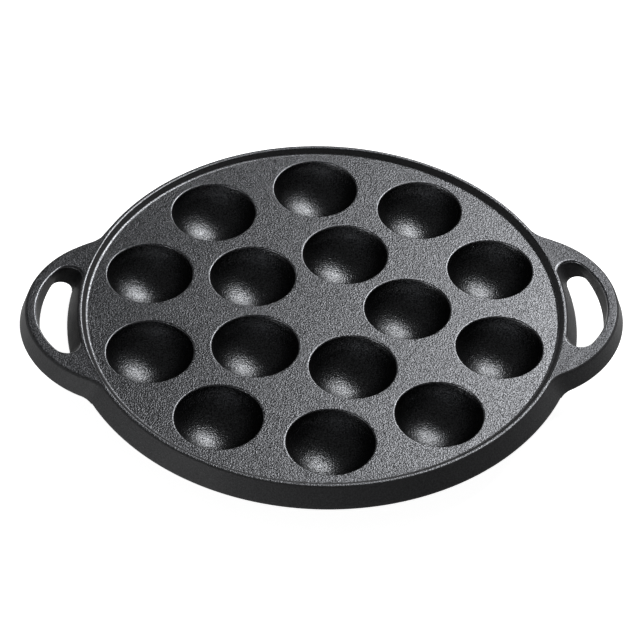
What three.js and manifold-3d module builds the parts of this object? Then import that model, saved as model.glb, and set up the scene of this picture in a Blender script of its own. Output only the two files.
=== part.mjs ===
// A round cast-iron takoyaki pan: a flat plate with fifteen round wells in two rings, a low raised rim,
// a flared skirt and a loop handle on each side. It is one casting, given here as its named sections.
// Millimetres, +Z up. X runs from handle to handle. The origin is under the centre, on the surface that
// the feet of the wells stand on.
import * as THREE from 'three';
import { mergeVertices } from 'three/addons/utils/BufferGeometryUtils.js';
import Module from 'manifold-3d';

// Wells
const wellMouthRadius = 21;
const wellDepth = 19;
const wellWall = 3.2;
const wellLip = 0.6;
const wellFootRadius = 6;
const wellFootFlare = 1;
const innerWellCount = 5;
const outerWellCount = 2 * innerWellCount;
const innerCupGap = 1.5;
const ringCupGap = 3.5;

// Plate and rim
const plateThickness = 4;
const plateMargin = 5.4;
const rimSlope = 2.5;
const rimLand = 1.7;
const rimHeight = 2.4;
const rimChamfer = 0.6;

// Skirt
const skirtDrop = 7.8;
const skirtFlare = 6.1;
const skirtWall = 5;
const skirtChamfer = 1.2;

// Handles: sizes at the top face, the draft from there to the underside, and the rise towards the tip. The
// crown is how much deeper the finger hole is at its middle than at its round ends.
const handleReach = 25.2;
const handleTipRadius = 52.6;
const handleRootFillet = 16;
const handleDraft = 3.4;
const handleChamfer = 0.8;
const handleRise = 1.3;
const gripWidth = 5.2;
const fingerHoleLength = 60;
const fingerHoleCrown = 6.6;
const fingerHoleDraft = 1.6;

// The seam between a handle and the flank that it grows from
const seamGap = 0.3;

// Fineness of the round shapes
const panSides = 96;
const wellSides = 24;
const cupRings = 5;
const tipSteps = 9;
const rootSteps = 5;
const holeSteps = 7;
const endSteps = 7;

// Heights above the surface that the pan stands on
const plateTop = wellDepth + wellWall;
const plateUnderside = plateTop - plateThickness;
const rimTop = plateTop + rimHeight;
const skirtBottom = plateTop - skirtDrop;

// The wells are caps of a sphere whose centre lies a little above the plate
const wellSphere = (wellMouthRadius ** 2 + wellDepth ** 2) / (2 * wellDepth);
const wellCentre = plateTop - wellDepth + wellSphere;
const sphereRadiusAt = (sphere, z) => Math.sqrt(sphere ** 2 - (z - wellCentre) ** 2);
const cupSphere = wellSphere + wellWall;
const cupRadius = sphereRadiusAt(cupSphere, plateUnderside);

// Ring radii: neighbouring cups stay a named gap apart
const innerPitch = 2 * cupRadius + innerCupGap;
const ringPitch = 2 * cupRadius + ringCupGap;
const ringTurn = Math.PI / outerWellCount;
const innerRing = innerPitch / (2 * Math.sin(Math.PI / innerWellCount));
const outerRing =
  innerRing * Math.cos(ringTurn) + Math.sqrt(ringPitch ** 2 - (innerRing * Math.sin(ringTurn)) ** 2);

// Radii of the plate and the rim, and the flank that flares from the rim to the skirt's lower edge
const plateRadius = outerRing + wellMouthRadius + plateMargin;
const rimRadius = plateRadius + rimSlope + rimLand;
const flankSlope = skirtFlare / (rimTop - skirtBottom);
const flankRadius = (z) => rimRadius + flankSlope * (rimTop - z);

// Radius of the finger hole's round ends: they fill the hole's depth but for the crown
const fingerHoleEnd = (handleReach - gripWidth - fingerHoleCrown) / 2;

// Shape helpers

// Merges shared vertices and drops the empty triangles that a lathe leaves on its axis
function weld(geometry) {
  geometry.deleteAttribute('normal');
  geometry.deleteAttribute('uv');
  const merged = mergeVertices(geometry);
  const corners = merged.index.array;
  const kept = [];
  for (let i = 0; i < corners.length; i += 3) {
    const [a, b, c] = corners.slice(i, i + 3);
    if (a !== b && b !== c && c !== a) kept.push(a, b, c);
  }
  merged.setIndex(kept);
  return merged;
}

// Turns the faces so that they point out of the solid
function faceOut(geometry) {
  const spots = geometry.attributes.position;
  const corners = Array.from(geometry.index.array);
  const a = new THREE.Vector3();
  const b = new THREE.Vector3();
  const c = new THREE.Vector3();
  let volume = 0;
  for (let i = 0; i < corners.length; i += 3) {
    a.fromBufferAttribute(spots, corners[i]);
    b.fromBufferAttribute(spots, corners[i + 1]);
    c.fromBufferAttribute(spots, corners[i + 2]);
    volume += a.dot(b.cross(c));
  }
  if (volume < 0) corners.reverse();
  geometry.setIndex(corners);
  return geometry;
}

// A solid of revolution about Z from a profile of [radius, height] pairs
function revolve(profile, sides) {
  const points = profile.map(([radius, height]) => new THREE.Vector2(radius, height));
  const geometry = new THREE.LatheGeometry(points, sides);
  geometry.rotateX(Math.PI / 2);
  return faceOut(weld(geometry));
}

// A ring of points about a centre, at one height
function circle(x, y, z, radius, sides) {
  const ring = [];
  for (let i = 0; i < sides; i++) {
    const turn = (2 * Math.PI * i) / sides;
    ring.push(new THREE.Vector3(x + radius * Math.cos(turn), y + radius * Math.sin(turn), z));
  }
  return ring;
}

// A closed solid through a stack of outlines with equal point counts, with any through-holes, each a stack
// of its own. The first and last outlines are capped.
function loft(outline, holes = []) {
  const stacks = [outline, ...holes];
  const spots = [];
  const corners = [];
  const starts = [];
  for (const stack of stacks) {
    const start = spots.length;
    const count = stack[0].length;
    starts.push(start);
    for (const ring of stack) spots.push(...ring);
    for (let level = 0; level < stack.length - 1; level++) {
      for (let i = 0; i < count; i++) {
        const low = start + level * count + i;
        const lowNext = start + level * count + ((i + 1) % count);
        const sides = [low, lowNext, lowNext + count, low, lowNext + count, low + count];
        corners.push(...(stack === outline ? sides : sides.reverse()));
      }
    }
  }
  const flat = (ring) => ring.map((p) => new THREE.Vector2(p.x, p.y));
  for (const end of [0, outline.length - 1]) {
    const rings = stacks.map((stack) => flat(stack[end ? stack.length - 1 : 0]));
    const faces = THREE.ShapeUtils.triangulateShape(rings[0], rings.slice(1));
    const places = rings.flatMap((ring, s) => {
      const first = starts[s] + (end ? (stacks[s].length - 1) * ring.length : 0);
      return ring.map((_, i) => first + i);
    });
    for (const face of faces) {
      const cap = face.map((corner) => places[corner]);
      corners.push(...(end ? cap : cap.reverse()));
    }
  }
  const geometry = new THREE.BufferGeometry().setFromPoints(spots);
  geometry.setIndex(corners);
  return faceOut(geometry);
}

// Points of an arc from one angle to another, both ends included
function arc(x, y, radius, from, to, steps) {
  const points = [];
  for (let i = 0; i <= steps; i++) {
    const turn = from + ((to - from) * i) / steps;
    points.push(new THREE.Vector2(x + radius * Math.cos(turn), y + radius * Math.sin(turn)));
  }
  return points;
}

// A closed solid through a row of sections with equal point counts, with a fan of faces on each end
function sweep(sections) {
  const count = sections[0].length;
  const corners = [];
  for (let s = 0; s < sections.length - 1; s++) {
    for (let i = 0; i < count; i++) {
      const near = s * count + i;
      const nearNext = s * count + ((i + 1) % count);
      corners.push(near, nearNext, nearNext + count, near, nearNext + count, near + count);
    }
  }
  const last = (sections.length - 1) * count;
  for (let i = 1; i < count - 1; i++) {
    corners.push(0, i + 1, i, last, last + i, last + i + 1);
  }
  const geometry = new THREE.BufferGeometry().setFromPoints(sections.flat());
  geometry.setIndex(corners);
  return faceOut(geometry);
}

// The point where two circles meet on the +Y side; both centres lie on the X axis, the first at zero
function meet(radiusA, centreB, radiusB) {
  const x = (radiusA ** 2 - radiusB ** 2 + centreB ** 2) / (2 * centreB);
  return new THREE.Vector2(x, Math.sqrt(radiusA ** 2 - x ** 2));
}

// The radius of an arc that crosses the X axis square and then runs into the far side of a circle of a
// given radius; the circle's centre lies a way back from that crossing and a way to the side
function arcRadius(back, side, radius) {
  return (back ** 2 + side ** 2 - radius ** 2) / (2 * (back - radius));
}

const wasm = await Module();
wasm.setup();

function toManifold(geometry) {
  const vertProperties = new Float32Array(geometry.attributes.position.array);
  const triVerts = new Uint32Array(geometry.index.array);
  return new wasm.Manifold(new wasm.Mesh({ numProp: 3, vertProperties, triVerts }));
}

function fromManifold(solid) {
  const mesh = solid.getMesh();
  const geometry = new THREE.BufferGeometry();
  geometry.setAttribute('position', new THREE.BufferAttribute(new Float32Array(mesh.vertProperties), 3));
  geometry.setIndex(Array.from(mesh.triVerts));
  return geometry;
}

// Sections of the casting

// The wells' centres: the outer ring first, half a step off the handles, then the inner ring
function wellPlaces() {
  const places = [];
  for (let i = 0; i < outerWellCount; i++) {
    const turn = (2 * i + 1) * ringTurn;
    places.push(new THREE.Vector2(outerRing * Math.cos(turn), outerRing * Math.sin(turn)));
  }
  for (let i = 0; i < innerWellCount; i++) {
    const turn = (2 * Math.PI * i) / innerWellCount;
    places.push(new THREE.Vector2(innerRing * Math.cos(turn), innerRing * Math.sin(turn)));
  }
  return places;
}

// The flat web, with a lipped mouth for each well and the flank's slope on its edge
function cookingPlate() {
  const edge = [plateUnderside, plateTop].map((z) => circle(0, 0, z, flankRadius(z), panSides));
  const lipFoot = plateTop - wellLip;
  const mouths = wellPlaces().map(({ x, y }) => [
    circle(x, y, plateUnderside, sphereRadiusAt(wellSphere, plateUnderside), wellSides),
    circle(x, y, lipFoot, sphereRadiusAt(wellSphere, lipFoot), wellSides),
    circle(x, y, plateTop, wellMouthRadius + wellLip, wellSides),
  ]);
  return loft(edge, mouths);
}

// The raised rim that stands on the edge of the plate
function rim() {
  const profile = [
    [plateRadius, plateTop],
    [flankRadius(plateTop), plateTop],
    [flankRadius(rimTop - rimChamfer), rimTop - rimChamfer],
    [rimRadius - rimChamfer, rimTop],
    [plateRadius + rimSlope, rimTop],
  ];
  return revolve([...profile, profile[0]], panSides);
}

// The flank below the plate
function skirt() {
  const inside = (z) => flankRadius(z) - skirtWall;
  const profile = [
    [inside(plateUnderside), plateUnderside],
    [inside(skirtBottom), skirtBottom],
    [flankRadius(skirtBottom) - skirtChamfer, skirtBottom],
    [flankRadius(skirtBottom + skirtChamfer), skirtBottom + skirtChamfer],
    [flankRadius(plateUnderside), plateUnderside],
  ];
  return revolve([...profile, profile[0]], panSides);
}

// One cup: the sphere's inside, its outside one wall away, and a small flat foot
function wellCup() {
  const footReach = wellFootRadius + wellFootFlare;
  const profile = [];
  const slopeAt = (sphere) => Math.acos((wellCentre - plateUnderside) / sphere);
  const onSphere = (sphere, slope) => [sphere * Math.sin(slope), wellCentre - sphere * Math.cos(slope)];
  for (let i = 0; i <= cupRings; i++) {
    profile.push(onSphere(wellSphere, (slopeAt(wellSphere) * i) / cupRings));
  }
  const footSlope = Math.asin(footReach / cupSphere);
  for (let i = cupRings; i >= 0; i--) {
    const slope = footSlope + ((slopeAt(cupSphere) - footSlope) * i) / cupRings;
    profile.push(onSphere(cupSphere, slope));
  }
  profile.push([wellFootRadius, wellCentre - cupSphere], [0, wellCentre - cupSphere]);
  profile[0][0] = 0;
  return revolve(profile, wellSides);
}

// One side of a handle that points along +X, at one height: pairs of points across the loop, from its tip
// to its root. The outside is an arc that runs into the flank by a hollow fillet. The finger hole is an
// arc with a round end that touches the flank. The inset takes the edges back for the chamfers.
function handleSide(z, inset) {
  const flank = flankRadius(z);
  const drop = (rimTop - z) / (rimTop - skirtBottom);
  const spread = handleDraft * drop - inset;
  const narrowing = fingerHoleDraft * drop - inset;

  const tipCentre = rimRadius + handleReach - handleTipRadius;
  const tip = handleTipRadius + spread;
  const root = handleRootFillet - spread;
  const rootCentre = meet(flank + root, tipCentre, tip + root);
  const tipTurn = Math.atan2(rootCentre.y, rootCentre.x - tipCentre);
  const rootTurn = Math.atan2(rootCentre.y, rootCentre.x);
  const outside = [
    ...arc(tipCentre, 0, tip, 0, tipTurn, tipSteps),
    ...arc(rootCentre.x, rootCentre.y, root, tipTurn - Math.PI, rootTurn - Math.PI, rootSteps).slice(1),
  ];

  const end = fingerHoleEnd - narrowing;
  const endSide = fingerHoleLength / 2 - fingerHoleEnd;
  const endCentre = new THREE.Vector2(Math.sqrt((flank + end) ** 2 - endSide ** 2), endSide);
  const holeTip = rimRadius + handleReach - gripWidth - narrowing;
  const hole = arcRadius(holeTip - endCentre.x, endSide, end);
  const holeCentre = holeTip - hole;
  const holeTurn = Math.atan2(endCentre.y, endCentre.x - holeCentre);
  const endTurn = Math.atan2(endCentre.y, endCentre.x);
  const inside = [
    ...arc(holeCentre, 0, hole, 0, holeTurn, holeSteps),
    ...arc(endCentre.x, endCentre.y, end, holeTurn, endTurn + Math.PI, endSteps).slice(1),
  ];

  // Both sides run on into the pan, where the flank cuts them off
  const seat = rimRadius - skirtWall;
  outside.push(new THREE.Vector2(seat * Math.cos(rootTurn), seat * Math.sin(rootTurn)));
  inside.push(new THREE.Vector2(seat * Math.cos(endTurn), seat * Math.sin(endTurn)));
  return { outside, inside };
}

// Lifts a point of the handle's loop: it rises from the rim to the tip
function lifted({ x, y }, z) {
  const outward = Math.max(0, x - rimRadius) / handleReach;
  return new THREE.Vector3(x, y, z + handleRise * outward);
}

// A handle loop that points along +X, before the flank is cut off it
function handleLoop() {
  const levels = [
    [skirtBottom, handleChamfer],
    [skirtBottom + handleChamfer, 0],
    [rimTop - handleChamfer, 0],
    [rimTop, handleChamfer],
  ];
  const sides = levels.map(([z, inset]) => ({ z, ...handleSide(z, inset) }));
  const sections = [];
  for (let i = 0; i < sides[0].outside.length; i++) {
    const outer = sides.map(({ z, outside }) => lifted(outside[i], z));
    const inner = sides.map(({ z, inside }) => lifted(inside[i], z));
    sections.push([...outer, ...inner.reverse()]);
  }
  const mirrored = sections.slice(1).map((section) => section.map((p) => new THREE.Vector3(p.x, -p.y, p.z)));
  return sweep([...mirrored.reverse(), ...sections]);
}

// A handle, cut where it meets the flank; turn points it along +X or -X
function handle(turn) {
  const reach = rimTop - skirtBottom;
  const low = skirtBottom - reach;
  const high = rimTop + reach;
  const profile = [
    [0, low],
    [flankRadius(low) + seamGap, low],
    [flankRadius(high) + seamGap, high],
    [0, high],
  ];
  const pan = toManifold(revolve(profile, panSides));
  const geometry = fromManifold(toManifold(handleLoop()).subtract(pan));
  geometry.rotateZ(turn);
  return geometry;
}

// Finishes: bare seasoned iron, darkest in the wells and a little rougher down the sides
const ironMetalness = 0.6;
const plateIron = { color: '#3a3b3d', roughness: 0.5 };
const rimIron = { color: '#38393b', roughness: 0.5 };
const skirtIron = { color: '#2a2b2d', roughness: 0.6 };
const handleIron = { color: '#303133', roughness: 0.55 };
const wellIron = { color: '#202123', roughness: 0.5 };

// The whole pan

const pan = new THREE.Group();

function add(name, geometry, finish, place = new THREE.Vector2()) {
  const material = new THREE.MeshStandardMaterial({ ...finish, metalness: ironMetalness, flatShading: true });
  const mesh = new THREE.Mesh(geometry, material);
  mesh.name = name;
  mesh.position.set(place.x, place.y, 0);
  pan.add(mesh);
}

add('cooking_plate', cookingPlate(), plateIron);
add('rim', rim(), rimIron);
add('skirt', skirt(), skirtIron);
add('handle_right', handle(0), handleIron);
add('handle_left', handle(Math.PI), handleIron);

const cup = wellCup();
wellPlaces().forEach((place, i) => {
  add(`well_${String(i + 1).padStart(2, '0')}`, cup, wellIron, place);
});

export default pan;
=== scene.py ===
"""A cast-iron takoyaki pan: a round plate with wells, its rim, skirt and two loop handles.

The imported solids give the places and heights. Each section of the casting is modelled again here with
rounded edges, fillets and a cast finish. Sizes are in metres.
"""
import math

import bmesh
import bpy
from mathutils import Matrix, Vector


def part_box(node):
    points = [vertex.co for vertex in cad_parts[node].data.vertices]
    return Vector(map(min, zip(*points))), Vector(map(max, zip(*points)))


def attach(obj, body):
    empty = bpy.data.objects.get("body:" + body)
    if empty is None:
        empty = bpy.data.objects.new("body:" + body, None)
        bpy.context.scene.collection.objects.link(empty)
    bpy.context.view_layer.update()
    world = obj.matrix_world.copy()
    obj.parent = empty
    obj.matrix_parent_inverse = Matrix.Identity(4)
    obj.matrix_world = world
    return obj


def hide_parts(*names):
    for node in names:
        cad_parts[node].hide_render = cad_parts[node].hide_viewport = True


bl_info = {
    "name": "Takoyaki Pan",
    "version": (1, 0, 0),
    "blender": (4, 5, 0),
    "location": "View3D > Sidebar > Takoyaki Pan",
    "description": "Models a cast-iron takoyaki pan around its packed solids",
    "category": "Add Mesh",
}

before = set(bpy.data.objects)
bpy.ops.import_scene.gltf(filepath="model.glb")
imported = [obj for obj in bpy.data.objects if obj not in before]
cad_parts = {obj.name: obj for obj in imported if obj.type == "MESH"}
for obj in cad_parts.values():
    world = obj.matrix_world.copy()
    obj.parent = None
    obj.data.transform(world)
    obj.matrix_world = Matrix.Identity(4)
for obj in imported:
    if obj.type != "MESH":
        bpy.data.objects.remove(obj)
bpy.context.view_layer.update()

WELLS = sorted(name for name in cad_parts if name.startswith("well_"))
ORIGIN = Vector((0, 0, 0))
UP = Vector((0, 0, 1))
SIDEWAYS = Vector((0, 1, 0))

# Heights that the solids already fix
PLATE_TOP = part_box("cooking_plate")[1].z
PLATE_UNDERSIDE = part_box("cooking_plate")[0].z
RIM_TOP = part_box("rim")[1].z
SKIRT_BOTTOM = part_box("skirt")[0].z
FOOT_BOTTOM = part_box(WELLS[0])[0].z


def well_place(name):
    """The point on the pan's base under the centre of a well."""
    low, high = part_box(name)
    return Vector(((low.x + high.x) / 2, (low.y + high.y) / 2, 0))


# How far the outer wells lie from the pan's axis
OUTER_RING = well_place(WELLS[0]).length


# Settings that a user would change

def size(name, description, default):
    return bpy.props.FloatProperty(
        name=name, description=description, default=default, min=0, precision=5, subtype="DISTANCE",
        unit="LENGTH",
    )


def colour(name, description, default):
    return bpy.props.FloatVectorProperty(
        name=name, description=description, default=default, size=3, min=0, max=1, subtype="COLOR"
    )


def share(name, description, default):
    return bpy.props.FloatProperty(
        name=name, description=description, default=default, min=0, max=1, subtype="FACTOR"
    )


def power(name, description, default):
    return bpy.props.FloatProperty(
        name=name, description=description, default=default, min=0, unit="POWER"
    )


class PanSizes(bpy.types.PropertyGroup):
    well_mouth: size("Well mouth radius", "Radius of a well where it meets the plate", 0.021)
    well_wall: size("Well wall", "Thickness of a cup's wall", 0.0032)
    well_lip: size("Lip rounding", "Width of the rounding round a well's mouth", 0.0006)
    well_foot: size("Foot radius", "Radius of the flat foot under a cup", 0.006)
    foot_flare: size("Foot flare", "How far a cup spreads just above its foot", 0.001)
    collar: size("Collar width", "Width of the flat ring that a cup adds to the plate's top", 0.0012)
    cup_fillet: size("Cup fillet", "Fillet between a cup and the underside of the plate", 0.0006)
    plate_margin: size("Plate margin", "Flat width between the outer wells and the rim", 0.0054)
    rim_slope: size("Rim slope", "Width of the rim's sloped inner face", 0.0025)
    rim_land: size("Rim land", "Width of the rim's flat top", 0.0017)
    rim_foot: size("Rim foot fillet", "Fillet between the plate and the rim's slope", 0.0006)
    land_inner: size("Land inner rounding", "Rounding of the land's inner edge", 0.0004)
    land_outer: size("Land outer rounding", "Rounding of the land's outer edge", 0.0007)
    skirt_flare: size("Skirt flare", "How far the flank spreads from the rim to its lower edge", 0.0061)
    skirt_wall: size("Skirt wall", "Thickness of the skirt", 0.005)
    skirt_rounding: size("Skirt rounding", "Rounding of the skirt's lower edge", 0.0018)
    overlap: size("Overlap", "Depth to which a section sinks into its neighbour", 0.00005)
    lift: size("Lift", "Height of a section's skin over its neighbour's where the two coincide", 0.000004)


class HandleSizes(bpy.types.PropertyGroup):
    reach: size("Reach", "Distance from the rim to the tip of a handle", 0.0252)
    tip_radius: size("Tip radius", "Radius of the outer edge seen from above", 0.0526)
    root_fillet: size("Root fillet", "Radius where a handle runs into the flank", 0.016)
    draft: size("Draft", "How far the outer side spreads towards the underside", 0.0034)
    hole_draft: size("Hole draft", "How far the finger hole narrows towards the underside", 0.0016)
    grip: size("Grip width", "Width of the loop's top at its tip", 0.0052)
    hole_length: size("Hole length", "Length of the finger hole from end to end", 0.06)
    hole_end: size("Hole end radius", "Radius of the finger hole's round ends", 0.0067)
    rise: size("Rise", "How far the tip stands over the rim", 0.0013)
    outer_rounding: size("Outer rounding", "Rounding of the top's outer edge", 0.0013)
    hole_rounding: size("Hole rounding", "Rounding of the finger hole's top edge", 0.001)
    low_rounding: size("Lower rounding", "Rounding of the lower edges", 0.0016)
    seat: size("Seat", "How far the top runs in over the rim's land", 0.00135)


class IronFinish(bpy.types.PropertyGroup):
    top_colour: colour("Top iron", "Seasoned iron of the plate and the rim", (0.07, 0.0716, 0.0757))
    handle_colour: colour("Handle iron", "Seasoned iron of the handles' tops", (0.046, 0.047, 0.05))
    side_colour: colour("Side iron", "Seasoned iron of the skirt and handle sides", (0.024, 0.0243, 0.0255))
    well_colour: colour("Well iron", "Oiled iron inside the wells", (0.09, 0.092, 0.096))
    # Paler than the top iron only to brighten the highlight lines on the roundings: a painted highlight
    edge_highlight_colour: colour("Edge highlight iron", "Rubbed iron on the rounded edges", (0.1, 0.102, 0.108))
    top_roughness: share("Top roughness", "Roughness of the plate between its grains", 0.33)
    handle_roughness: share("Handle roughness", "Roughness of the handles' tops", 0.4)
    side_roughness: share("Side roughness", "Roughness of the skirt and handle sides", 0.55)
    well_roughness: share("Well roughness", "Roughness inside the wells", 0.31)
    # These are the rounded edges that carry the painted highlight
    edge_roughness: share("Edge roughness", "Roughness of the rubbed edges", 0.32)
    grain_size: size("Grain size", "Width of one grain of the cast skin", 0.0007)
    grain_depth: size("Grain depth", "Height of the grain on the flat tops", 0.0002)
    # The contrast also sets how dark the painted shade between the grains is
    grain_contrast: share("Grain contrast", "How much paler than the iron the tips of its grains are", 1)


class StudioSettings(bpy.types.PropertyGroup):
    floor_colour: colour("Floor", "Plain pale floor", (0.8, 0.8, 0.8))
    key_power: power("Key power", "Power of the large soft box behind the pan on the right", 24)
    fill_power: power("Fill power", "Power of the low soft strip in front of the pan on the left", 8)


# Shape helpers

# Points closer than this are merged, or count as being in one place
WELD = 0.000002
NEAR = 0.00001

# How many facets a rounding has
WIDE_STEPS = 5
NARROW_STEPS = 4
FOOT_STEPS = 3


def ring(distance, turn, height):
    """A point at a distance from the pan's axis, turned from the X axis, at a height."""
    return Vector((distance * math.cos(turn), distance * math.sin(turn), height))


def meeting_point(radius_a, centre_b, radius_b):
    """Where two circles meet on the +Y side. Both centres lie on the X axis, the first at zero."""
    x = (radius_a ** 2 - radius_b ** 2 + centre_b ** 2) / (2 * centre_b)
    return Vector((x, math.sqrt(radius_a ** 2 - x ** 2)))


def verts_of(geometry):
    """The vertices among the geometry that an operation gives back."""
    return [item for item in geometry if isinstance(item, bmesh.types.BMVert)]


def line_to(bm, start, *point):
    """Draws an edge from a vertex to a new one, and returns the new one."""
    end = bm.verts.new(point)
    bm.edges.new((start, end))
    return end


def swing(bm, start, centre, axis, angle, steps):
    """Draws an arc by swinging a vertex about an axis, and returns the arc's end."""
    arc = bmesh.ops.spin(
        bm, geom=[start], cent=centre, axis=axis, angle=angle, steps=steps, use_duplicate=False
    )
    return verts_of(arc["geom_last"])[0]


def turn_profile(bm, sides):
    """Spins everything drawn so far about the vertical axis into a closed skin."""
    bmesh.ops.spin(
        bm, geom=bm.verts[:] + bm.edges[:], cent=ORIGIN, axis=UP, angle=math.tau, steps=sides, use_merge=True,
        use_duplicate=False,
    )
    bmesh.ops.remove_doubles(bm, verts=bm.verts[:], dist=WELD)
    bmesh.ops.recalc_face_normals(bm, faces=bm.faces[:])


def edges_round(bm, radius, height):
    """The ring of edges at one radius and height."""
    def on_ring(vert):
        return abs(vert.co.xy.length - radius) < NEAR and abs(vert.co.z - height) < NEAR
    return [edge for edge in bm.edges if all(on_ring(vert) for vert in edge.verts)]


def round_off(bm, edges, width, segments):
    """Rounds edges off, or fillets them where they are hollow, and returns the new faces."""
    if not edges:
        raise RuntimeError("There are no edges to round off")
    return bmesh.ops.bevel(
        bm, geom=edges, offset=width, offset_type="OFFSET", affect="EDGES", segments=segments, profile=0.5,
        material=-1, clamp_overlap=True,
    )["faces"]


# The flank that the rim, the plate's edge and the skirt share

def plate_radius(pan):
    """Radius of the plate at the foot of the rim's slope."""
    return OUTER_RING + pan.well_mouth + pan.plate_margin


def rim_radius(pan):
    """Radius of the rim's outer edge, where the flank begins."""
    return plate_radius(pan) + pan.rim_slope + pan.rim_land


def flank_radius(pan, height):
    """Radius of the flank, which spreads evenly from the rim's top to the skirt's lower edge."""
    return rim_radius(pan) + pan.skirt_flare * (RIM_TOP - height) / (RIM_TOP - SKIRT_BOTTOM)


def collar_radius(pan):
    """Radius of the round openings in the plate that the cups fill."""
    return pan.well_mouth + pan.collar


# Materials

# The slope's finish paints shade with a darker copy of the side iron
FINISH_NAMES = (
    "Top iron", "Handle iron", "Side iron", "Painted shade slope iron", "Well iron", "Rough iron", "Edge highlight iron",
)
# The edge finish is paler, smoother iron that paints brighter highlights on roundings
TOP, HANDLE, SIDE, PAINTED_SHADE_SLOPE, WELL, ROUGH, HIGHLIGHT_EDGE = range(len(FINISH_NAMES))

# The cast grain, and the larger patches in its sheen
GRAIN_DETAIL = 1
GRAIN_ROUGHNESS = 0.55
GRAIN_SPAN = (0.2, 0.8)
PATCH_SIZE = 0.02
PATCH_DETAIL = 4
PATCH_SPAN = (0.25, 0.75)
MOTTLE = 0.1

# Shares of the top's grain that the other surfaces have
WELL_CONTRAST = 0.9
SIDE_CONTRAST = 0.4
SIDE_DEPTH = 0.5
ROUGH_WIDTH = 1.6
ROUGH_DEPTH = 1.5
EDGE_DEPTH = 0.5

# The sides are baked black and dull, and the rim's slope gets painted shade, a darker copy of the side iron
TOP_SPECULAR = 0.5
SIDE_SPECULAR = 0.09
# Share of the side iron's colour left on the slope, which paints shade there
SLOPE_SHADE = 0.7


def lumps(tree, coords, width, detail):
    """A lumpy pattern that is fixed to the piece."""
    noise = tree.nodes.new("ShaderNodeTexNoise")
    noise.inputs["Scale"].default_value = 1 / width
    noise.inputs["Detail"].default_value = detail
    tree.links.new(coords.outputs["Object"], noise.inputs["Vector"])
    return noise


def raise_grain(tree, shader, grain, depth):
    """Makes the grains stand out of the skin."""
    bump = tree.nodes.new("ShaderNodeBump")
    bump.inputs["Strength"].default_value = 1
    bump.inputs["Distance"].default_value = depth
    tree.links.new(grain.outputs["Fac"], bump.inputs["Height"])
    tree.links.new(bump.outputs["Normal"], shader.inputs["Normal"])


def tint_and_shade_grain(tree, shader, grain, base, contrast):
    """Darkens the iron between its grains as painted shade, and makes their tips paler as if worn."""
    tint = tree.nodes.new("ShaderNodeValToRGB")
    hollow, tip = tint.color_ramp.elements
    hollow.position, tip.position = GRAIN_SPAN
    hollow.color = (*(part * (1 - contrast) for part in base), 1)
    tip.color = (*(part * (1 + contrast) for part in base), 1)
    tree.links.new(grain.outputs["Fac"], tint.inputs["Fac"])
    tree.links.new(tint.outputs["Color"], shader.inputs["Base Color"])


def mottle_sheen(tree, shader, patches, roughness):
    """Makes the iron a little glossier in some patches than in others."""
    sheen = tree.nodes.new("ShaderNodeMapRange")
    sheen.inputs["From Min"].default_value, sheen.inputs["From Max"].default_value = PATCH_SPAN
    sheen.inputs["To Min"].default_value = roughness * (1 - MOTTLE)
    sheen.inputs["To Max"].default_value = roughness * (1 + MOTTLE)
    tree.links.new(patches.outputs["Fac"], sheen.inputs["Value"])
    tree.links.new(sheen.outputs["Result"], shader.inputs["Roughness"])


def iron(name, base, roughness, grain_size, grain_depth, contrast, metal=1, specular=TOP_SPECULAR):
    """Seasoned cast iron: fine sand-cast grains with paler tips and painted shade between them, and a mottled
    sheen.
    """
    material = bpy.data.materials.new(name)
    material.use_nodes = True
    tree = material.node_tree
    shader = tree.nodes["Principled BSDF"]
    shader.inputs["Metallic"].default_value = metal
    shader.inputs["Specular IOR Level"].default_value = specular
    coords = tree.nodes.new("ShaderNodeTexCoord")
    grain = lumps(tree, coords, grain_size, GRAIN_DETAIL)
    grain.inputs["Roughness"].default_value = GRAIN_ROUGHNESS
    raise_grain(tree, shader, grain, grain_depth)
    # Painted shade in the grains' hollows, paler worn tips
    tint_and_shade_grain(tree, shader, grain, base, contrast)
    mottle_sheen(tree, shader, lumps(tree, coords, PATCH_SIZE, PATCH_DETAIL), roughness)


def season_pan(look):
    """Makes every finish of the pan."""
    width, depth, contrast = look.grain_size, look.grain_depth, look.grain_contrast
    dull = {"metal": 0, "specular": SIDE_SPECULAR}
    smooth = (look.side_roughness, width, depth * SIDE_DEPTH, contrast * SIDE_CONTRAST)
    coarse = (look.side_roughness, width * ROUGH_WIDTH, depth * ROUGH_DEPTH, contrast)
    shaded = [part * SLOPE_SHADE for part in look.side_colour]
    iron("Top iron", look.top_colour, look.top_roughness, width, depth, contrast)
    iron("Handle iron", look.handle_colour, look.handle_roughness, width, depth, contrast)
    iron("Side iron", look.side_colour, *smooth, **dull)
    # The slope's iron is the side iron darkened by painted shade
    iron("Painted shade slope iron", shaded, *smooth, **dull)
    iron("Well iron", look.well_colour, look.well_roughness, width, depth, contrast * WELL_CONTRAST)
    iron("Rough iron", look.side_colour, *coarse, **dull)
    # Edge iron: paler, smoother iron that paints brighter highlights on chosen roundings
    iron("Edge highlight iron", look.edge_highlight_colour, look.edge_roughness, width, depth * EDGE_DEPTH, contrast)


def finishes(context):
    """The pan's finishes in their order, made only once."""
    if FINISH_NAMES[TOP] not in bpy.data.materials:
        season_pan(context.scene.iron_finish)
    return [bpy.data.materials[name] for name in FINISH_NAMES]


# How far up a face's normal points where one finish gives way to another
TOP_FACING = 0.97
SLOPE_FACING = 0.8
UNDER_FACING = -0.35


def casting_paint(face, top=TOP):
    """Grained iron on top, smoother iron on the sides and rough iron underneath."""
    if face.normal.z > TOP_FACING:
        return top
    return SIDE if face.normal.z > UNDER_FACING else ROUGH


def handle_paint(face):
    """As on the rest of the casting, with the handles' own iron on top."""
    return casting_paint(face, HANDLE)


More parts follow.
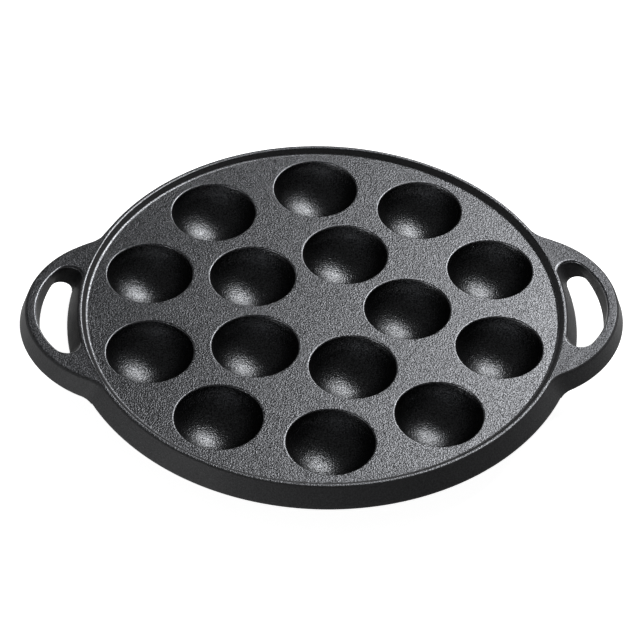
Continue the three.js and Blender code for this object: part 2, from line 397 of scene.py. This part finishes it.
def rim_paint(face):
    """Painted shade: the darkest iron, on the slope that faces inwards."""
    facing_in = face.normal.xy.dot(face.calc_center_median().xy) < 0
    return PAINTED_SHADE_SLOPE if facing_in and face.normal.z < SLOPE_FACING else casting_paint(face)


def paint_edge_highlight(faces):
    """Gives rounded edges a paler, smoother iron, a painted highlight that brightens their glints."""
    for face in faces:
        face.material_index = HIGHLIGHT_EDGE


# Edges that bend more than this stay sharp in the shading
SHARP = math.radians(38)


def finish_piece(context, bm, name, node, paint):
    """Paints the faces that have no finish yet, and makes an object that stands for its CAD node."""
    bmesh.ops.recalc_face_normals(bm, faces=bm.faces[:])
    for face in bm.faces:
        face.smooth = True
        if not face.material_index:
            face.material_index = paint(face)
    for edge in bm.edges:
        if len(edge.link_faces) == 2 and edge.calc_face_angle() > SHARP:
            edge.smooth = False
    mesh = bpy.data.meshes.new(name)
    bm.to_mesh(mesh)
    bm.free()
    for material in finishes(context):
        mesh.materials.append(material)
    piece = bpy.data.objects.new(name, mesh)
    context.scene.collection.objects.link(piece)
    soften = piece.modifiers.new("Even shading", "WEIGHTED_NORMAL")
    soften.keep_sharp = True
    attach(piece, "root")
    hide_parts(node)


# The plate, the rim and the skirt

PAN_SIDES = 192
WELL_SIDES = 96


class PAN_OT_cooking_plate(bpy.types.Operator):
    """Model the flat round plate with an opening for each well"""
    bl_idname = "pan.cooking_plate"
    bl_label = "Cooking Plate"

    def execute(self, context):
        pan = context.scene.pan_sizes
        bm = bmesh.new()
        top_radius = flank_radius(pan, PLATE_TOP)
        level = Matrix.Translation((0, 0, PLATE_TOP))
        bmesh.ops.create_circle(bm, segments=PAN_SIDES, radius=top_radius, matrix=level)
        for name in WELLS:
            place = Matrix.Translation(well_place(name) + UP * PLATE_TOP)
            bmesh.ops.create_circle(bm, segments=WELL_SIDES, radius=collar_radius(pan), matrix=place)
        bmesh.ops.triangle_fill(bm, use_beauty=True, edges=bm.edges[:], normal=UP)
        lower = bmesh.ops.extrude_face_region(bm, geom=bm.faces[:])["geom"]
        # The plate's outer edge follows the flank
        spread = flank_radius(pan, PLATE_UNDERSIDE) / top_radius
        for vert in verts_of(lower):
            if vert.co.xy.length > top_radius - NEAR:
                vert.co.xy *= spread
            vert.co.z = PLATE_UNDERSIDE
        finish_piece(context, bm, "plate_casting", "cooking_plate", casting_paint)
        return {"FINISHED"}


class PAN_OT_rim(bpy.types.Operator):
    """Model the low rim: a hollow foot, a sloped inner face and a narrow rounded land"""
    bl_idname = "pan.rim"
    bl_label = "Rim"

    def execute(self, context):
        pan = context.scene.pan_sizes
        bm = bmesh.new()
        foot = plate_radius(pan)
        crest = foot + pan.rim_slope
        inner = foot - pan.rim_foot - pan.overlap
        outer = flank_radius(pan, PLATE_TOP)
        skin = PLATE_TOP + pan.lift
        low = PLATE_TOP - pan.overlap
        first = bm.verts.new((inner, 0, low))
        last = line_to(bm, first, inner, 0, skin)
        last = line_to(bm, last, foot, 0, skin)
        last = line_to(bm, last, crest, 0, RIM_TOP)
        last = line_to(bm, last, rim_radius(pan), 0, RIM_TOP)
        last = line_to(bm, last, outer, 0, PLATE_TOP)
        last = line_to(bm, last, outer - pan.overlap, 0, low)
        bm.edges.new((last, first))
        turn_profile(bm, PAN_SIDES)
        # The rim foot's fillet and the land's inner rounding get the painted highlight
        paint_edge_highlight(round_off(bm, edges_round(bm, foot, skin), pan.rim_foot, WIDE_STEPS))
        paint_edge_highlight(round_off(bm, edges_round(bm, crest, RIM_TOP), pan.land_inner, NARROW_STEPS))
        round_off(bm, edges_round(bm, rim_radius(pan), RIM_TOP), pan.land_outer, WIDE_STEPS)
        finish_piece(context, bm, "rim_casting", "rim", rim_paint)
        return {"FINISHED"}


class PAN_OT_skirt(bpy.types.Operator):
    """Model the flared skirt below the plate with its rounded lower edge"""
    bl_idname = "pan.skirt"
    bl_label = "Skirt"

    def execute(self, context):
        pan = context.scene.pan_sizes
        bm = bmesh.new()
        outside_top = flank_radius(pan, PLATE_UNDERSIDE)
        outside_low = flank_radius(pan, SKIRT_BOTTOM)
        inside_top = outside_top - pan.skirt_wall
        inside_low = outside_low - pan.skirt_wall
        ledge = inside_top - pan.skirt_rounding - pan.overlap
        skin = PLATE_UNDERSIDE - pan.lift
        high = PLATE_UNDERSIDE + pan.overlap
        first = bm.verts.new((outside_top, 0, PLATE_UNDERSIDE))
        last = line_to(bm, first, outside_low, 0, SKIRT_BOTTOM)
        last = line_to(bm, last, inside_low, 0, SKIRT_BOTTOM)
        last = line_to(bm, last, inside_top, 0, skin)
        last = line_to(bm, last, ledge, 0, skin)
        last = line_to(bm, last, ledge, 0, high)
        last = line_to(bm, last, outside_top - pan.overlap, 0, high)
        bm.edges.new((last, first))
        turn_profile(bm, PAN_SIDES)
        round_off(bm, edges_round(bm, outside_low, SKIRT_BOTTOM), pan.skirt_rounding, WIDE_STEPS)
        round_off(bm, edges_round(bm, inside_low, SKIRT_BOTTOM), pan.skirt_rounding, NARROW_STEPS)
        round_off(bm, edges_round(bm, inside_top, skin), pan.skirt_rounding, NARROW_STEPS)
        finish_piece(context, bm, "skirt_casting", "skirt", casting_paint)
        return {"FINISHED"}


# The wells

HOLLOW_STEPS = 28
CUP_STEPS = 20


def model_cup(pan):
    """One cup round the pan's axis: its hollow, its lip and collar, its outer skin and its flat foot."""
    # The hollow is the part of a sphere between the mouth and the deepest point
    depth = PLATE_TOP - FOOT_BOTTOM - pan.well_wall
    hollow = (pan.well_mouth ** 2 + depth ** 2) / (2 * depth)
    outside = hollow + pan.well_wall
    centre = Vector((0, 0, PLATE_TOP - depth + hollow))

    def slope(sphere, height):
        return math.acos((centre.z - height) / sphere)

    bm = bmesh.new()
    collar = collar_radius(pan)
    cup = math.sqrt(outside ** 2 - (PLATE_UNDERSIDE - centre.z) ** 2)
    flange = cup + pan.cup_fillet + pan.overlap
    skin = PLATE_UNDERSIDE - pan.lift
    sunk = PLATE_UNDERSIDE + pan.overlap
    foot_slope = math.asin((pan.well_foot + pan.foot_flare) / outside)
    pole = bm.verts.new((0, 0, centre.z - hollow))
    last = swing(bm, pole, centre, SIDEWAYS, -slope(hollow, PLATE_TOP), HOLLOW_STEPS)
    last = line_to(bm, last, collar, 0, PLATE_TOP)
    last = line_to(bm, last, collar, 0, sunk)
    last = line_to(bm, last, flange, 0, sunk)
    last = line_to(bm, last, flange, 0, skin)
    last = line_to(bm, last, cup, 0, skin)
    last = swing(bm, last, centre, SIDEWAYS, slope(outside, PLATE_UNDERSIDE) - foot_slope, CUP_STEPS)
    last = line_to(bm, last, pan.well_foot, 0, FOOT_BOTTOM)
    line_to(bm, last, 0, 0, FOOT_BOTTOM)
    turn_profile(bm, WELL_SIDES)
    # The lip gets the painted highlight
    paint_edge_highlight(round_off(bm, edges_round(bm, pan.well_mouth, PLATE_TOP), pan.well_lip, WIDE_STEPS))
    round_off(bm, edges_round(bm, cup, skin), pan.cup_fillet, FOOT_STEPS)
    round_off(bm, edges_round(bm, pan.well_foot, FOOT_BOTTOM), pan.foot_flare / 2, FOOT_STEPS)
    for face in bm.faces:
        middle = face.calc_center_median()
        inside = (middle - centre).length < hollow + pan.well_wall / 2
        if inside and middle.z < PLATE_TOP - NEAR and not face.material_index:
            face.material_index = WELL
    bm.normal_update()
    return bm


class PAN_OT_wells(bpy.types.Operator):
    """Model the cups of the wells: a smooth hollow, a rounded lip and a flat foot"""
    bl_idname = "pan.wells"
    bl_label = "Wells"

    def execute(self, context):
        cup = model_cup(context.scene.pan_sizes)
        for name in WELLS:
            bm = cup.copy()
            bmesh.ops.translate(bm, verts=bm.verts[:], vec=well_place(name))
            finish_piece(context, bm, name.replace("well", "cup"), name, casting_paint)
        cup.free()
        return {"FINISHED"}


# The handles

TIP_STEPS = 30
ROOT_STEPS = 14
SEAT_STEPS = 8
HOLE_STEPS = 24
END_STEPS = 28

# Marks of the edges that get rounded
OUTER_EDGE, HOLE_EDGE, LOW_EDGE = 1, 2, 3


def outer_side(bm, pan, grip, height, seat, spread):
    """Draws half of the outer side: the tip's arc, the root fillet, and the seat along the rim."""
    flank = flank_radius(pan, height)
    tip_centre = rim_radius(pan) + grip.reach - grip.tip_radius
    tip = grip.tip_radius + spread
    root = grip.root_fillet - spread
    root_centre = meeting_point(flank + root, tip_centre, tip + root)
    tip_turn = math.atan2(root_centre.y, root_centre.x - tip_centre)
    root_turn = math.atan2(root_centre.y, root_centre.x)
    seat_turn = math.atan2(grip.hole_length / 2, rim_radius(pan))
    start = bm.verts.new((tip_centre + tip, 0, height))
    last = swing(bm, start, (tip_centre, 0, height), UP, tip_turn, TIP_STEPS)
    last = swing(bm, last, (*root_centre, height), UP, root_turn - tip_turn, ROOT_STEPS)
    last = line_to(bm, last, *ring(seat, root_turn, height))
    swing(bm, last, (0, 0, height), UP, seat_turn - root_turn, SEAT_STEPS)


def hole_side(bm, pan, grip, height, seat, narrowing):
    """Draws half of the finger hole's side: its long arc, its round end and the run into the pan."""
    end = grip.hole_end - narrowing
    side = grip.hole_length / 2 - grip.hole_end
    end_centre = Vector((math.sqrt((flank_radius(pan, height) + end) ** 2 - side ** 2), side))
    tip = rim_radius(pan) + grip.reach - grip.grip - narrowing
    back = tip - end_centre.x
    hole = (back ** 2 + side ** 2 - end ** 2) / (2 * (back - end))
    hole_centre = tip - hole
    hole_turn = math.atan2(end_centre.y, end_centre.x - hole_centre)
    end_turn = math.atan2(end_centre.y, end_centre.x)
    start = bm.verts.new((hole_centre + hole, 0, height))
    last = swing(bm, start, (hole_centre, 0, height), UP, hole_turn, HOLE_STEPS)
    last = swing(bm, last, (*end_centre, height), UP, end_turn + math.pi - hole_turn, END_STEPS)
    line_to(bm, last, *ring(seat, end_turn, height))


def half_loop(bm, pan, grip, corner):
    """Makes the +Y half of the right loop, and marks the edges that get rounded."""
    top_seat = rim_radius(pan) - grip.seat
    low_seat = flank_radius(pan, SKIRT_BOTTOM) - pan.skirt_wall / 2
    top = RIM_TOP + pan.lift
    low = SKIRT_BOTTOM + pan.lift
    chains = []
    for draw, height, seat, draft, mark in (
        (outer_side, top, top_seat, 0, OUTER_EDGE),
        (outer_side, low, low_seat, grip.draft, LOW_EDGE),
        (hole_side, low, low_seat, grip.hole_draft, LOW_EDGE),
        (hole_side, top, top_seat, 0, HOLE_EDGE),
    ):
        before = set(bm.edges)
        draw(bm, pan, grip, height, seat, draft)
        chain = [edge for edge in bm.edges if edge not in before]
        # An edge along the seat is hidden in the pan, and stays sharp
        for edge in chain:
            if any(vert.co.xy.length > seat + NEAR for vert in edge.verts):
                edge[corner] = mark
        chains.append(chain)
    for chain, following in zip(chains, chains[1:] + chains[:1]):
        bmesh.ops.bridge_loops(bm, edges=chain + following)
    ends = [edge for edge in bm.edges if edge.is_boundary and all(vert.co.y > NEAR for vert in edge.verts)]
    bmesh.ops.holes_fill(bm, edges=ends, sides=len(chains))


def model_loop(pan, grip):
    """The right loop: both halves, their rounded edges, and the tip that stands over the rim."""
    bm = bmesh.new()
    corner = bm.edges.layers.int.new("corner")
    half_loop(bm, pan, grip, corner)
    bmesh.ops.mirror(bm, geom=bm.verts[:] + bm.edges[:] + bm.faces[:], merge_dist=NEAR, axis="Y")
    bmesh.ops.recalc_face_normals(bm, faces=bm.faces[:])
    for width, mark in (
        (grip.outer_rounding, OUTER_EDGE), (grip.hole_rounding, HOLE_EDGE), (grip.low_rounding, LOW_EDGE),
    ):
        edges = [edge for edge in bm.edges if edge[corner] == mark]
        rounding = round_off(bm, edges, width, NARROW_STEPS)
        # Only the hole's rounding gets the painted highlight
        if mark == HOLE_EDGE:
            paint_edge_highlight(rounding)
    # The loop climbs evenly from the rim to its tip
    for vert in bm.verts:
        outward = max(0, vert.co.x - rim_radius(pan)) / grip.reach
        vert.co.z += grip.rise * outward
    return bm


class PAN_OT_handles(bpy.types.Operator):
    """Model the two loop handles with their finger holes"""
    bl_idname = "pan.handles"
    bl_label = "Handles"

    def execute(self, context):
        for node, turn in (("handle_right", 0), ("handle_left", math.pi)):
            bm = model_loop(context.scene.pan_sizes, context.scene.handle_sizes)
            bmesh.ops.rotate(bm, verts=bm.verts[:], cent=ORIGIN, matrix=Matrix.Rotation(turn, 3, "Z"))
            name = node.replace("handle", "loop_handle")
            finish_piece(context, bm, name, node, handle_paint)
        return {"FINISHED"}


# Stage

FLOOR_RADIUS = 4
FLOOR_SIDES = 64
FLOOR_DROP = 0.0001
FLOOR_ROUGHNESS = 0.9
FLOOR_GLOW = 0.93
BACKDROP_HEIGHT = 0.8
WHITE = (1, 1, 1, 1)
WORLD_LEVEL = 0.08

# Where the lamps stand, turned from the X axis and raised from the floor
KEY_BEARING = math.radians(52)
KEY_RISE = math.radians(44.5)
KEY_DISTANCE = 1.35
KEY_WIDTH = 0.85
FILL_BEARING = math.radians(215)
FILL_RISE = math.radians(3)
FILL_DISTANCE = 1.1
FILL_WIDTH = 0.6
FILL_HEIGHT = 0.1

# The lens and its sensor are in millimetres
LENS = 167.1
SENSOR_WIDTH = 36
CAMERA_DISTANCE = 1.439
CAMERA_AIM = (-0.00116, -0.0073)
CAMERA_RISE = math.radians(44.24)
CAMERA_TURN = math.radians(3.74)
CAMERA_ROLL = math.radians(1.97)


def floor_paint(base):
    """Pale and matt, nearly white to the camera and in reflections, with the pan's shadow kept."""
    material = bpy.data.materials.new("Pale floor")
    material.use_nodes = True
    nodes, link = material.node_tree.nodes, material.node_tree.links.new
    shader = nodes["Principled BSDF"]
    shader.inputs["Base Color"].default_value = (*base, 1)
    shader.inputs["Roughness"].default_value = FLOOR_ROUGHNESS
    shader.inputs["Specular IOR Level"].default_value = 0
    path = nodes.new("ShaderNodeLightPath")
    seen = path.outputs["Is Camera Ray"]
    for ray in ("Is Glossy Ray", "Is Transmission Ray"):
        either = nodes.new("ShaderNodeMath")
        either.operation = "MAXIMUM"
        link(seen, either.inputs[0])
        link(path.outputs[ray], either.inputs[1])
        seen = either.outputs["Value"]
    strength = nodes.new("ShaderNodeMath")
    strength.operation = "MULTIPLY"
    strength.inputs[1].default_value = FLOOR_GLOW
    link(seen, strength.inputs[0])
    glow = nodes.new("ShaderNodeEmission")
    glow.inputs["Color"].default_value = WHITE
    link(strength.outputs["Value"], glow.inputs["Strength"])
    both = nodes.new("ShaderNodeAddShader")
    link(shader.outputs["BSDF"], both.inputs[0])
    link(glow.outputs["Emission"], both.inputs[1])
    link(both.outputs["Shader"], nodes["Material Output"].inputs["Surface"])
    return material


def lay_floor(context, studio):
    """A round floor with an upright backdrop all round it."""
    bm = bmesh.new()
    level = Matrix.Translation((0, 0, -FLOOR_DROP))
    bmesh.ops.create_circle(bm, cap_ends=True, segments=FLOOR_SIDES, radius=FLOOR_RADIUS, matrix=level)
    wall = bmesh.ops.extrude_edge_only(bm, edges=bm.edges[:])["geom"]
    bmesh.ops.translate(bm, verts=verts_of(wall), vec=UP * BACKDROP_HEIGHT)
    mesh = bpy.data.meshes.new("floor")
    bm.to_mesh(mesh)
    bm.free()
    mesh.materials.append(floor_paint(studio.floor_colour))
    floor = bpy.data.objects.new("floor", mesh)
    context.scene.collection.objects.link(floor)


def light_world(context):
    """A dim white world."""
    world = bpy.data.worlds.new("Studio")
    world.use_nodes = True
    background = world.node_tree.nodes["Background"]
    background.inputs["Color"].default_value = WHITE
    background.inputs["Strength"].default_value = WORLD_LEVEL
    context.scene.world = world


def set_lamps(context, studio):
    """A large soft box behind the pan, and a low strip in front of it."""
    for name, bearing, rise, distance, width, height, watts in (
        ("key", KEY_BEARING, KEY_RISE, KEY_DISTANCE, KEY_WIDTH, KEY_WIDTH, studio.key_power),
        ("fill", FILL_BEARING, FILL_RISE, FILL_DISTANCE, FILL_WIDTH, FILL_HEIGHT, studio.fill_power),
    ):
        lamp = bpy.data.lights.new(name, "AREA")
        lamp.shape = "RECTANGLE"
        lamp.size = width
        lamp.size_y = height
        lamp.energy = watts
        light = bpy.data.objects.new(name, lamp)
        light.location = ring(distance * math.cos(rise), bearing, distance * math.sin(rise))
        light.rotation_euler = (-light.location).to_track_quat("-Z", "Y").to_euler()
        context.scene.collection.objects.link(light)


def set_camera(context):
    """A long lens that looks down at the plate from the front, turned and rolled a little."""
    data = bpy.data.cameras.new("camera")
    data.sensor_width = SENSOR_WIDTH
    data.lens = LENS
    camera = bpy.data.objects.new("camera", data)
    turn = Matrix.Rotation(-CAMERA_TURN, 3, "Z")
    right = turn @ Vector((1, 0, 0))
    back = turn @ Vector((0, -math.cos(CAMERA_RISE), math.sin(CAMERA_RISE)))
    above = back.cross(right)
    target = turn @ Vector((*CAMERA_AIM, 0)) + UP * PLATE_TOP
    tilt_right = right * math.cos(CAMERA_ROLL) + above * math.sin(CAMERA_ROLL)
    tilt_up = above * math.cos(CAMERA_ROLL) - right * math.sin(CAMERA_ROLL)
    pose = Matrix((tilt_right, tilt_up, back)).transposed().to_4x4()
    pose.translation = target + back * CAMERA_DISTANCE
    camera.matrix_world = pose
    context.scene.collection.objects.link(camera)
    context.scene.camera = camera


class PAN_OT_stage(bpy.types.Operator):
    """Set the pale floor and backdrop, the soft studio lights and the camera"""
    bl_idname = "pan.stage"
    bl_label = "Stage"

    def execute(self, context):
        studio = context.scene.studio_settings
        lay_floor(context, studio)
        light_world(context)
        set_lamps(context, studio)
        set_camera(context)
        context.scene.view_settings.view_transform = "Standard"
        return {"FINISHED"}


# The panel, and the order in which everything is made

GROUPS = {
    "pan_sizes": PanSizes,
    "handle_sizes": HandleSizes,
    "iron_finish": IronFinish,
    "studio_settings": StudioSettings,
}
OPERATORS = (
    PAN_OT_cooking_plate, PAN_OT_rim, PAN_OT_skirt, PAN_OT_wells, PAN_OT_handles, PAN_OT_stage,
)


class PAN_PT_panel(bpy.types.Panel):
    """Lists the pan's sections and settings"""
    bl_idname = "PAN_PT_panel"
    bl_label = "Takoyaki Pan"
    bl_space_type = "VIEW_3D"
    bl_region_type = "UI"
    bl_category = "Takoyaki Pan"

    def draw(self, context):
        for step in OPERATORS:
            self.layout.operator(step.bl_idname)
        for name in GROUPS:
            settings = getattr(context.scene, name)
            column = self.layout.column()
            for key in settings.__annotations__:
                column.prop(settings, key)


def register():
    for item in (*GROUPS.values(), *OPERATORS, PAN_PT_panel):
        bpy.utils.register_class(item)
    for name, group in GROUPS.items():
        setattr(bpy.types.Scene, name, bpy.props.PointerProperty(type=group))


def unregister():
    for name in GROUPS:
        delattr(bpy.types.Scene, name)
    for item in (PAN_PT_panel, *reversed(OPERATORS), *GROUPS.values()):
        bpy.utils.unregister_class(item)


def main():
    register()
    for step in OPERATORS:
        group, name = step.bl_idname.split(".")
        getattr(getattr(bpy.ops, group), name)()


if __name__ == "__main__":
    main()
